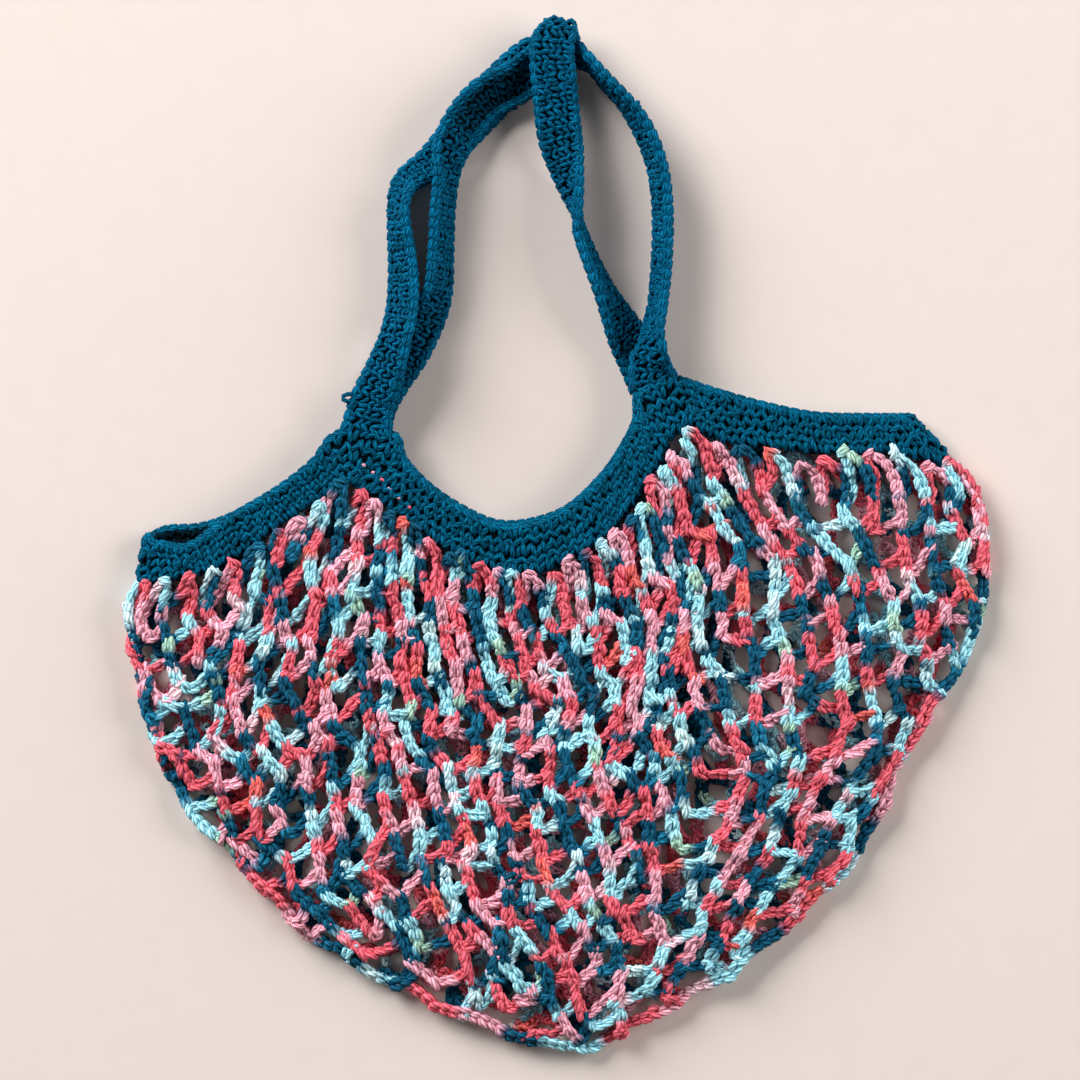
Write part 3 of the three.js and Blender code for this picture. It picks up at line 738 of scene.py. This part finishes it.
def hang_net(name, chosen, knots, sides):
    """One mesh of the chosen chain stitches and knots."""
    piece = YarnPiece(name)
    place, side, way, normal, size, pitch, spool = (values[chosen] for values in (
        link_place, link_side, link_way, link_normal, link_size, link_pitch, link_spool))
    for shape, corners in ((CHAIN_V, sides), (CHAIN_BUMP, max(sides - 2, 3))):
        path, radius = set_down(shape, place, side, way, normal, CHAIN_HALF * size, pitch, YARN * size)
        path = path + rng.normal(0, CHAIN_SHAKE, path.shape)
        piece.tubes(path, radius, normal, dyed(spool[:, None] + shape[None, :, 1]), corners)
    place, way, normal, spool = (values[knots] for values in (knot_place, knot_way, knot_normal, knot_spool))
    across = np.cross(way, normal)
    for shift in (-KNOT_HALF, KNOT_HALF):
        spot = place + across * shift
        path, radius = set_down(KNOT_LEG, spot, across, way, normal, MM, KNOT_LONG, KNOT_YARN)
        piece.tubes(path, radius, normal, dyed(spool[:, None] + KNOT_DYE * KNOT_LEG[None, :, 1]), KNOT_SIDES)
    return piece.mesh(net_yarn)


net_pieces = []
for side in ("front", "back"):
    link_here, knot_here = ((theta < 0.5) == (side == "front") for theta in (link_theta, knot_theta))
    for part in ("upper", "lower"):
        link_part, knot_part = ((row < UPPER_ROWS) == (part == "upper") for row in (link_row, knot_row))
        net_pieces.append(hang_net("net_%s_%s" % (side, part), link_here & link_part, knot_here & knot_part,
                                   FRONT_SIDES if side == "front" else BACK_SIDES))

# %% [markdown]
# ## Single crochet cloth
#
# The band and the handles are close single crochet with rows that run along their length: five
# rows, and more where the band rises to its peaks. A thin ground, coloured a dark teal as painted
# shade in the gaps, keeps light from shining through between the stitches, and V and turned
# stitches stand on both of its faces. The free edges end in a braid of chain stitches, made a little
# lighter as a painted highlight on the edges. The handles are of finer and slightly bluer yarn than
# the band.

# %% Shades of teal, and painted shade on inner faces
# The ground's dark teal is painted shade for the gaps between the stitches.
TEAL, HANDLE_TEAL, TEAL_PAINTED_SHADE = linear(0, 85, 115), linear(0, 87, 121), linear(0, 22, 32)
YARN_TONES = (0.78, 1.24)
# Painted shade: the band's inner face is darkened in colour, and most of all in its left corner.
INSIDE_SHADE = 0.75
CORNER, CORNER_REACH, CORNER_PAINTED_SHADE = (-0.208, 0.0), 0.03, 0.85
# Painted shade in the hollow of the back handle's cup, darkened in colour around its middle.
CUP_SPOT, CUP_SPREAD, CUP_PAINTED_SHADE = (-0.036, 0.236), 0.026, 0.5


def teal_tint(colour, count, rings):
    """A shade of its own for each tube."""
    return colour * rng.uniform(*YARN_TONES, (count, 1, 1)) * np.ones((1, rings, 1))


def painted_dimming(spot, middle, reach, dark):
    """A factor of painted shade: 1, and less near a middle, by as much as the shade is dark there."""
    away = np.linalg.norm(spot[:, :2] - middle, axis=1)
    return (1 - dark * bell(away, 0, reach, 4))[:, None, None]


def band_inside_painted_shade(spot):
    """Painted shade on the band's inner face: dimmed all over, and darkest deep in its left corner."""
    return INSIDE_SHADE * painted_dimming(spot, CORNER, CORNER_REACH, CORNER_PAINTED_SHADE)


def cup_painted_shade(spot):
    """Painted shade in the hollow of the cupped handle."""
    return painted_dimming(spot, CUP_SPOT, CUP_SPREAD, CUP_PAINTED_SHADE)


print("tones of a stitch: %.2f to %.2f" % YARN_TONES)

# %% Cloth along two edge lines
CROCHET_YARN, HANDLE_YARN, YARN_SIZES = 1.42 * MM, 1.27 * MM, (0.92, 1.1)
STITCH, ROW_HEIGHT = 5.9 * MM, 5.3 * MM
CLOTH_ROWS, MOST_ROWS = 5, 8
GROUND, GROUND_STEP, GROUND_IN = 1.0 * MM, 4 * MM, 0.03
ROW_OFFSET, ROW_SHAKE, STITCH_ROLL = 0.43, 0.022, 0.15
STAND, STAND_SHAKE = 0.2 * MM, 0.3 * MM
V_SLANT, TURNED_SLANT, LEG_LEAN, LEAN_SHAKE = 0.46, -1.0, 0.12, 0.24
LEG_ASIDE, LEG_SHAKE = 0.25, 0.18 * MM
OUTER_SIDES, INNER_SIDES = 6, 5
# The braid is made a little lighter as a painted highlight on the edges.
BRAID_OUT, BRAID_WIDE, BRAID_UP, BRAID_PAINTED_HIGHLIGHT = 0.9, 0.93, 0.9 * MM, 1.1
HANDLE_FOOT = 12.5 * MM


class Cloth:
    """A strip between two edge lines, low and top, that bulges between them where it is told to."""

    def __init__(self, low, top, closed, yarn, colour, bulge=None):
        self.low, self.top, self.closed = low, top, closed
        self.yarn, self.colour = yarn, colour
        self.bulge = np.zeros_like(low) if bulge is None else bulge
        self.run = run_of((low + top) / 2)
        self.long = self.run[-1]
        self.count = int(round(self.long / STITCH))
        self.pitch = self.long / self.count

    def spot(self, run, v):
        low, top, bulge = (at_run(line, self.run, run) for line in (self.low, self.top, self.bulge))
        v = np.broadcast_to(v, len(run))[:, None]
        off = 2 * v - 1
        return low + (top - low) * v + bulge * (1 - off ** 4), top - low - bulge * 8 * off ** 3

    def at(self, run, v):
        """Points, the ways along and up, the normal and the height of the strip."""
        point, up = self.spot(run, v)
        ahead, behind = (self.spot(np.clip(run + step, 0, self.long), v)[0] for step in (MM, -MM))
        way = unit(ahead - behind)
        normal = unit(np.cross(way, up))
        return point, way, unit(up), normal, np.linalg.norm(up, axis=1)

    def ground(self, piece):
        """The thin closed strip that the stitches stand on, coloured dark teal as painted shade in the gaps
        between them.
        """
        steps = int(self.long / GROUND_STEP)
        runs = np.linspace(0, self.long, steps + 1)[: steps if self.closed else steps + 1]
        corners = []
        low, top = GROUND_IN, 1 - GROUND_IN
        for v, lift in ((low, -1), (low, 1), (0.5, 1), (top, 1), (top, -1), (0.5, -1)):
            spot, _, _, normal, _ = self.at(runs, v)
            corners.append(spot + normal * lift * GROUND)
        points = np.concatenate(corners)
        index = np.arange(len(points)).reshape(len(corners), -1).T
        ahead = np.roll(index, -1, axis=0)
        quads = np.stack([index, ahead, np.roll(ahead, -1, axis=1), np.roll(index, -1, axis=1)], axis=-1)
        if not self.closed:
            ends = index[[[0]], [[5, 2, 1, 0], [5, 4, 3, 2]]], index[[[-1]], [[0, 1, 2, 5], [2, 3, 4, 5]]]
            quads = np.concatenate([quads[:-1].reshape(-1, 4), *ends])
        # The ground is coloured dark as painted shade between the stitches.
        tint = np.broadcast_to(TEAL_PAINTED_SHADE, points.shape)
        piece.parts.append((points, [(quads.reshape(-1, 4), np.zeros((quads.size, 2)))], tint))

    def stitches(self, piece, inside):
        """V stitches on one row and turned ones on the next, on both faces, with painted shade from inside on
        the inner face.
        """
        for face in (1, -1):
            for row in range(MOST_ROWS):
                slant = TURNED_SLANT if (row + (face < 0)) % 2 else V_SLANT
                run = np.mod((np.arange(self.count) + 0.5 + ROW_OFFSET * row) * self.pitch, self.long)
                tall = self.at(run, 0.5)[4]
                rows = np.clip(np.round(tall / ROW_HEIGHT), CLOTH_ROWS, MOST_ROWS)
                run, rows = run[row < rows], rows[row < rows]
                if not len(run):
                    continue
                v = (row + 0.5) / rows + rng.normal(0, ROW_SHAKE, len(run))
                spot, way, up, normal, height = self.at(run, v)
                side, normal = rolled(way, normal * face, rng.normal(0, STITCH_ROLL, len(run)))
                spot = spot + normal * (GROUND + STAND + rng.normal(0, STAND_SHAKE, (len(run), 1)))
                for leg in (-1, 1):
                    lean = slant * leg + LEG_LEAN + rng.normal(0, LEAN_SHAKE, (len(run), 1))
                    path, radius = set_down(CROCHET_LEG, spot + side * leg * LEG_ASIDE * self.pitch, side,
                                            unit(up + side * lean), normal, MM, height / rows,
                                            self.yarn * rng.uniform(*YARN_SIZES, len(run)))
                    path = path + rng.normal(0, LEG_SHAKE, path.shape)
                    tint = teal_tint(self.colour, len(run), len(CROCHET_LEG))
                    if face > 0:
                        piece.tubes(path, radius, normal, tint, OUTER_SIDES)
                    else:
                        # The inner face's tint is multiplied by painted shade.
                        piece.tubes(path, radius, normal, tint * inside(spot), INNER_SIDES)

    def braid(self, piece, v, outward, gaps=()):
        """Chain stitches that follow an edge round every bend, left out where a handle stands, made lighter
        as a painted highlight.
        """
        start = np.arange(self.count) * self.pitch
        spot, _ = self.spot(start, v)
        for gap in gaps:
            start, spot = (a[np.linalg.norm(spot[:, :2] - gap, axis=1) > HANDLE_FOOT] for a in (start, spot))
        for face in (1, -1):
            rings = []
            for aside, ahead, rise, _ in CHAIN_V:
                run = start + ahead * self.pitch
                run = np.mod(run, self.long) if self.closed else np.clip(run, 0, self.long)
                spot, way, up, normal, _ = self.at(run, v)
                normal = unit(normal * face + up * outward * BRAID_OUT)
                rings.append(spot + np.cross(way, normal) * aside * BRAID_WIDE * self.yarn
                             + normal * (BRAID_UP + rise * self.yarn))
            radius = np.tile(CHAIN_V[:, 3] * self.yarn, (len(start), 1))
            # Painted highlight: the braid's tint is made lighter.
            tint = teal_tint(self.colour, len(start), len(CHAIN_V)) * BRAID_PAINTED_HIGHLIGHT
            piece.tubes(np.stack(rings, axis=1), radius, normal, tint, OUTER_SIDES)


print("single crochet: %.1f mm a stitch, %d rows or more" % (STITCH / MM, CLOTH_ROWS))

# %% [markdown]
# ## The band
#
# The band is a ring as the pouch is: front, right fold, back, left fold. Its front edge sags at the
# left corner, where the mouth gapes and shows the inside of the back, and less in the middle. The
# stitches on the band's inner face are painted darker as shade, darkest in that corner.

# %% Edge lines of the band as closed rings
BAND_STEPS, ROUND_STEPS = 8, 8
BAND_EDGE, EDGE_IN = 0.99, 2.2 * MM
BAND_BACK = 2.9 * MM
GAPE = 11 * MM
SAGS = ((-0.208, 0.018, 1.0), (-0.03, 0.03, 0.2))


def band_level(plan):
    """The middle of the band's front wall, above its back wall and the free height."""
    return BAND_WALL + free_height(to_fold(plan)[0]) + BAND_WALL / 2


def band_ring(low_edge):
    """The low or top edge of the band, once round."""
    at = np.arange((len(band_low) - 1) * BAND_STEPS + 1) / BAND_STEPS
    plan = spline(band_low if low_edge else band_top, at)
    if not low_edge:
        plan = plan + unit(spline(band_low, at) - plan) * EDGE_IN
    _, out = to_fold(plan[[0, -1]])
    top = band_level(plan)
    front, back = raised(plan, top), raised(plan, BAND_BACK)
    if not low_edge:
        front[:, 1] -= sum(bell(plan[:, 0], middle, reach) * share * GAPE for middle, reach, share in SAGS)
    angle = np.linspace(0, math.pi, ROUND_STEPS + 1)[1:-1]

    def fold(spot, way, high):
        middle, half = (high + BAND_BACK) / 2, (high - BAND_BACK) / 2
        reach = (FOLD_ROUND - BAND_WALL / 2) * np.sin(angle)
        return raised(spot + way * reach[:, None], middle + half * np.cos(angle))

    right, left = fold(plan[-1], out[1], top[-1]), fold(plan[0], out[0], top[0])
    return np.concatenate([front, right, back[::-1], left[::-1], front[:1]])


band_cloth = Cloth(band_ring(True), band_ring(False), True, CROCHET_YARN, TEAL)
band_ground, band_stitches = YarnPiece("band_ground"), YarnPiece("band_crochet")
band_cloth.ground(band_ground)
band_cloth.stitches(band_stitches, band_inside_painted_shade)
peaks = [band_top[list(peak)].mean(axis=0) for peak in (PEAK_LEFT, PEAK_RIGHT)]
band_cloth.braid(band_stitches, BAND_EDGE, 1, peaks)
print("band: %.0f mm round" % (band_cloth.long / MM))

# %% Net yarn that shows through the band where the net was joined to it
DOTS = MM * np.array([(-120, 30), (-107, 38), (-102, 34), (-97, 30), (-93, 25), (-88, 20), (-82, 15)])
DOT_RISE, DOT_WAY, DOT_TURN = 0.9, 0.8, (-0.7, 0.3)
DOT_LONG, DOT_YARN = (0.7, 1.8), 0.9 * MM
UP = np.array([0.0, 0.0, 1.0])
dot_count = len(DOTS)
dot_level = band_level(DOTS) + GROUND + DOT_RISE * CROCHET_YARN
dot_way = [(DOT_WAY, turn, 0.0) for turn in rng.uniform(*DOT_TURN, dot_count)]
dot_way, dot_normal = unit(np.array(dot_way)), np.tile(UP, (dot_count, 1))
dot_path, dot_radius = set_down(CROCHET_LEG, raised(DOTS, dot_level), np.cross(dot_way, dot_normal), dot_way,
                                dot_normal, MM, rng.uniform(*DOT_LONG, dot_count) * MM, DOT_YARN)
dot_tint = np.stack([PINK if k % 3 else CORAL for k in range(dot_count)])
dot_tint = np.repeat(dot_tint[:, None], len(CROCHET_LEG), axis=1)
band_stitches.tubes(dot_path, dot_radius, dot_normal, dot_tint, OUTER_SIDES)
print("dots of net yarn that show:", dot_count)

# %% [markdown]
# ## The handles
#
# Each handle is a strip that starts on a peak of the band, twists, folds and stands on its edge,
# and ends on the other peak. The turn and lean in its table give the way of its width at each row,
# made square to its path. The back handle is cupped where it lies on the front one, with one edge
# raised and its middle low. Where it folds over at the top, its edges draw back and its middle
# bulges, so that the fold is a dome, and its sides draw in.

# %% Edge lines of a handle
STRAP_STEPS = 8
BASE_WIDTH, FOOT_IN = 29 * MM, 2.5 * MM
LOW_EDGE, TOP_EDGE = 0.02, 0.98
BRAID_ROOM, LOWEST = 2.5 * MM, 2.6 * MM
DOME, DOME_ROW, DOME_REACH = 2.2 * MM, 15, 1.1
CUP, CUP_ROW, CUP_REACH = 5.5 * MM, 11.3, 1.7
HOLLOW, HOLLOW_ROWS, HOLLOW_REACH = 4.5 * MM, (14.0, 16.2), 0.9
UPPER_HOLLOW = 0.4


def base_row(peak, front, turned, lean):
    """The row of a handle's table that stands on a peak of the band."""
    a, b = band_top[list(peak)]
    middle = (a + b) / 2
    run = b - a
    z = band_level(middle[None])[0] if front else BAND_WALL / 2
    spot = middle - unit(np.array([-run[1], run[0]])) * FOOT_IN
    turn = math.degrees(math.atan2(run[1], run[0])) + turned
    return np.array([*spot / MM, z / MM, turn, lean, BASE_WIDTH / MM])


def strap_cloth(rows, folded):
    """The cloth between the two edge lines of a handle."""
    at = np.arange((len(rows) - 1) * STRAP_STEPS + 1) / STRAP_STEPS
    values = spline(rows, at)
    middle = values[:, :3] * MM
    turn, lean = np.radians(values[:, 3:5].T)
    way = unit(np.gradient(middle, axis=0))
    wide = np.stack([np.cos(turn) * np.cos(lean), np.sin(turn) * np.cos(lean), np.sin(lean)], axis=1)
    for end in (0, -1):
        way[end] = unit(np.array([-wide[end, 1], wide[end, 0], 0.0]))
    wide = unit(wide - way * (wide * way).sum(axis=1, keepdims=True))
    half = values[:, 5:6] * MM / 2 - BRAID_ROOM
    low, top = middle - wide * half, middle + wide * half
    lift = np.maximum(0, LOWEST - np.minimum(low[:, 2], top[:, 2]))
    low[:, 2] += lift
    top[:, 2] += lift
    bulge = None
    if folded:
        dome = bell(at, DOME_ROW, DOME_REACH)[:, None] * np.array([0.0, DOME, 0.0])
        cup = bell(at, CUP_ROW, CUP_REACH, 4)[:, None] * np.array([0.0, 0.0, CUP])
        lower, upper = (bell(at, row, HOLLOW_REACH)[:, None] for row in HOLLOW_ROWS)
        shift = (lower - UPPER_HOLLOW * upper) * np.array([HOLLOW, 0.0, 0.0]) - dome
        low, top, bulge = low + shift + cup, top + shift, dome - cup
    return Cloth(low, top, False, HANDLE_YARN, HANDLE_TEAL, bulge)


teal_parts = {("band_front", "band_back"): (band_ground, band_stitches)}
for name, table, last in (("handle_front", HANDLE_FRONT, (-180, 0)), ("handle_back", HANDLE_BACK, (0, 180))):
    front = name == "handle_front"
    ends = base_row(PEAK_LEFT, front, 0, 0), base_row(PEAK_RIGHT, front, *last)
    cloth = strap_cloth(np.vstack([ends[0], table, ends[1]]), not front)
    ground, stitches = YarnPiece(name + "_ground"), YarnPiece(name + "_crochet")
    cloth.ground(ground)
    # The back handle's hollow gets painted shade, and the front handle gets none.
    cloth.stitches(stitches, cup_painted_shade if not front else lambda spot: 1.0)
    cloth.braid(stitches, LOW_EDGE, -1)
    cloth.braid(stitches, TOP_EDGE, 1)
    teal_parts[(name,)] = ground, stitches
    print("%s: %.0f mm long" % (name, cloth.long / MM))

# %% A slipped loop of yarn at the foot of the front handle
SLIP = MM * np.array([(-112, 73, 17), (-116, 73, 18), (-118.4, 74, 18.6), (-118.4, 76, 18.6),
                      (-116, 77, 18), (-112, 77, 17)])
SLIP_YARN = 1.25 * MM
_, front_stitches = teal_parts[("handle_front",)]
front_stitches.tubes(SLIP[None], np.full((1, len(SLIP)), SLIP_YARN), UP[None],
                     teal_tint(HANDLE_TEAL, 1, len(SLIP)), OUTER_SIDES)
print("slipped loop: %.0f mm of yarn" % (run_of(SLIP)[-1] / MM))

# %% Band and handles become meshes
teal_pieces = [(nodes, *(part.mesh(teal_yarn) for part in parts)) for nodes, parts in teal_parts.items()]

# %% [markdown]
# ## Every piece rides on the one body
#
# Nothing here moves, so every piece rides on the one body, and the solids that the yarn replaces
# are hidden.

# %% Bodies, and the replaced solids hidden
NET_FLAT = ((0.72, 0.20), (0.66, 0.28), (0.72, 0.20), (0.66, 0.28))
TEAL_FLAT = ((1.03, 0.025), (0.023, 0.46), (0.023, 0.46))
for piece, flat in zip(net_pieces, NET_FLAT):
    side = "front" if "front" in piece.name else "back"
    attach(piece, "root")
    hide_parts("mesh_" + side)
for (nodes, ground, stitches), flat in zip(teal_pieces, TEAL_FLAT):
    for piece in (ground, stitches):
        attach(piece, "root")
        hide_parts(*nodes)
print("pieces: %d" % (len(net_pieces) + 2 * len(teal_pieces)))

# %% [markdown]
# ## Floor, light and camera
#
# The bag lies on a plain pale floor in soft studio light, and the camera looks straight down on it
# through a long lens, which keeps its proportions true.

# %% Floor
FLOOR_SIZE, FLOOR_GRAIN, FLOOR_ROUGHNESS = 6, 60.0, 0.9
FLOOR_PALE, FLOOR_DIM = linear(235, 221, 214), linear(231, 217, 209)


def floor_finish():
    material, tree, shader = new_material("pale_floor")
    shades = {"A": (*FLOOR_PALE, 1), "B": (*FLOOR_DIM, 1), "Factor": noise_on(tree, FLOOR_GRAIN)}
    tone = new_node(tree, "ShaderNodeMix", shades, data_type="RGBA")
    fill(tree, shader, {"Roughness": FLOOR_ROUGHNESS, "Base Color": tone.outputs["Result"]})
    return material


bpy.ops.mesh.primitive_plane_add(size=FLOOR_SIZE)
floor = bpy.context.object
floor.name = "floor"
floor.data.materials.append(floor_finish())
print("floor:", tuple(floor.dimensions))

# %% Light and camera
VIEW_WIDTH, VIEW_HEIGHT = 0.594, 2.4
VIEW_CENTRE = (-0.01045, -0.003)
MID_LEVEL = 0.012
SENSOR = 36.0
SKY, SKY_STRENGTH = (1.0, 0.98, 0.96, 1), 0.11
LAMP_SIZE = 2.8
LAMPS = (("key", (-2.8, 2.8, 2.1), 318), ("fill", (3.4, 0.7, 1.6), 127))

world = bpy.data.worlds.new("studio")
world.use_nodes = True
fill(world.node_tree, world.node_tree.nodes["Background"], {"Color": SKY, "Strength": SKY_STRENGTH})
bpy.context.scene.world = world
bpy.context.scene.view_settings.view_transform = "Standard"

for name, (x, y, z), power in LAMPS:
    light = bpy.data.lights.new(name, "AREA")
    light.size, light.energy = LAMP_SIZE, power
    lamp = bpy.data.objects.new(name, light)
    lamp.location = (x, y, z)
    lamp.rotation_euler = (math.atan2(math.hypot(x, y), z), 0, math.atan2(-x, y) + math.pi)
    bpy.context.collection.objects.link(lamp)

lens = bpy.data.cameras.new("camera")
lens.sensor_width = SENSOR
lens.lens = SENSOR * (VIEW_HEIGHT - MID_LEVEL) / VIEW_WIDTH
camera = bpy.data.objects.new("camera", lens)
camera.location = (*VIEW_CENTRE, VIEW_HEIGHT)
bpy.context.collection.objects.link(camera)
bpy.context.scene.camera = camera
print("lens: %.0f mm" % lens.lens)

# %% Update the scene
bpy.context.view_layer.update()
